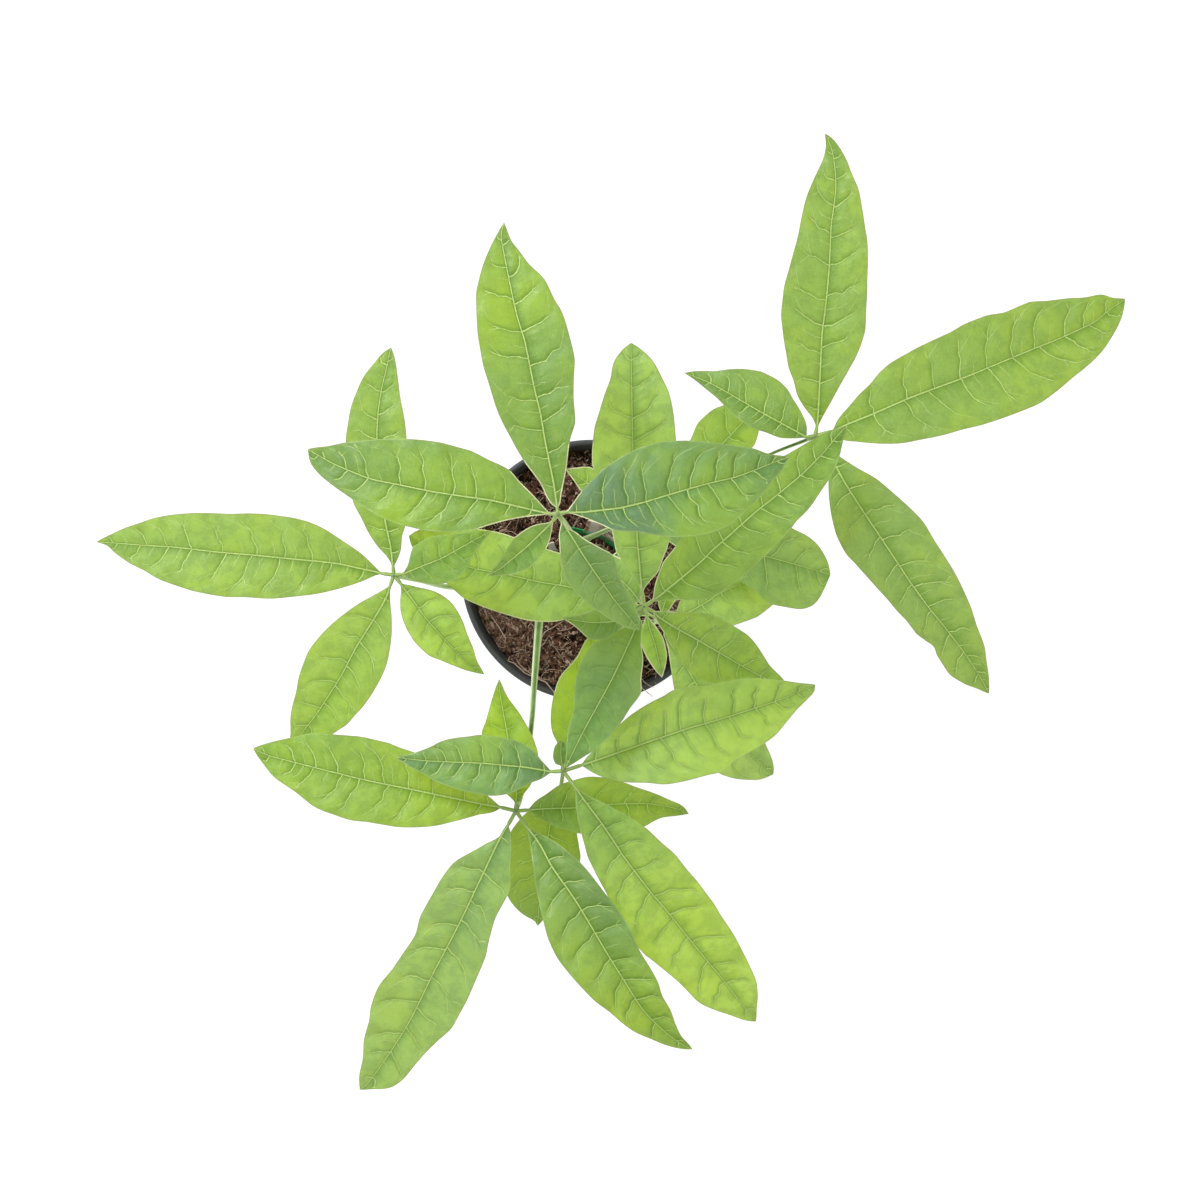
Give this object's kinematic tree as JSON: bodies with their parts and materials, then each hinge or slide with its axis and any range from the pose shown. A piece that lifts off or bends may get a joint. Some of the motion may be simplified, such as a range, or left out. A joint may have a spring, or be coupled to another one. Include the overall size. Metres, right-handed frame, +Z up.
{
  "type": "potted money tree",
  "caption": "Young money tree with loosely braided trunks and large palmate leaves, growing in a round charcoal nursery pot of dark potting mix with a small bent plant label.",
  "frame": {"origin": "centre of the pot's underside, on the surface it stands on", "axes": "+Z up the pot's axis, +Y towards the top of the view from above, +X to its right"},
  "size_m": [0.4264, 0.3968, 0.3524],
  "materials": {
    "pot": "matte",
    "soil": "matte",
    "label": "satin",
    "bark": "matte",
    "green_stem": "satin",
    "leaf": "satin"
  },
  "bodies": {
    "root": {"pot": "pot", "soil": "soil", "label": "label", "trunk_1": "bark", "trunk_2": "bark", "trunk_3": "bark", "petiole_A": "green_stem", "petiole_B": "green_stem", "petiole_C": "green_stem", "petiole_D": "green_stem", "petiole_G": "green_stem", "petiole_H": "green_stem", "petiole_I": "green_stem", "leaflet_A1": "leaf", "leaflet_A2": "leaf", "leaflet_A3": "leaf", "leaflet_A4": "leaf", "leaflet_A5": "leaf", "leaflet_B1": "leaf", "leaflet_B2": "leaf", "leaflet_B3": "leaf", "leaflet_B4": "leaf", "leaflet_B5": "leaf", "leaflet_C1": "leaf", "leaflet_C2": "leaf", "leaflet_C3": "leaf", "leaflet_C4": "leaf", "leaflet_C5": "leaf", "leaflet_D1": "leaf", "leaflet_D2": "leaf", "leaflet_D3": "leaf", "leaflet_D4": "leaf", "leaflet_D5": "leaf", "leaflet_D6": "leaf", "leaflet_E1": "leaf", "leaflet_E2": "leaf", "leaflet_E3": "leaf", "leaflet_E4": "leaf", "leaflet_E5": "leaf", "leaflet_E6": "leaf", "leaflet_E7": "leaf", "leaflet_G1": "leaf", "leaflet_G2": "leaf", "leaflet_G3": "leaf", "leaflet_G4": "leaf", "leaflet_H1": "leaf", "leaflet_H2": "leaf", "leaflet_H3": "leaf", "leaflet_H4": "leaf", "leaflet_I1": "leaf", "leaflet_I2": "leaf", "leaflet_I3": "leaf"}
  },
  "joints": []
}
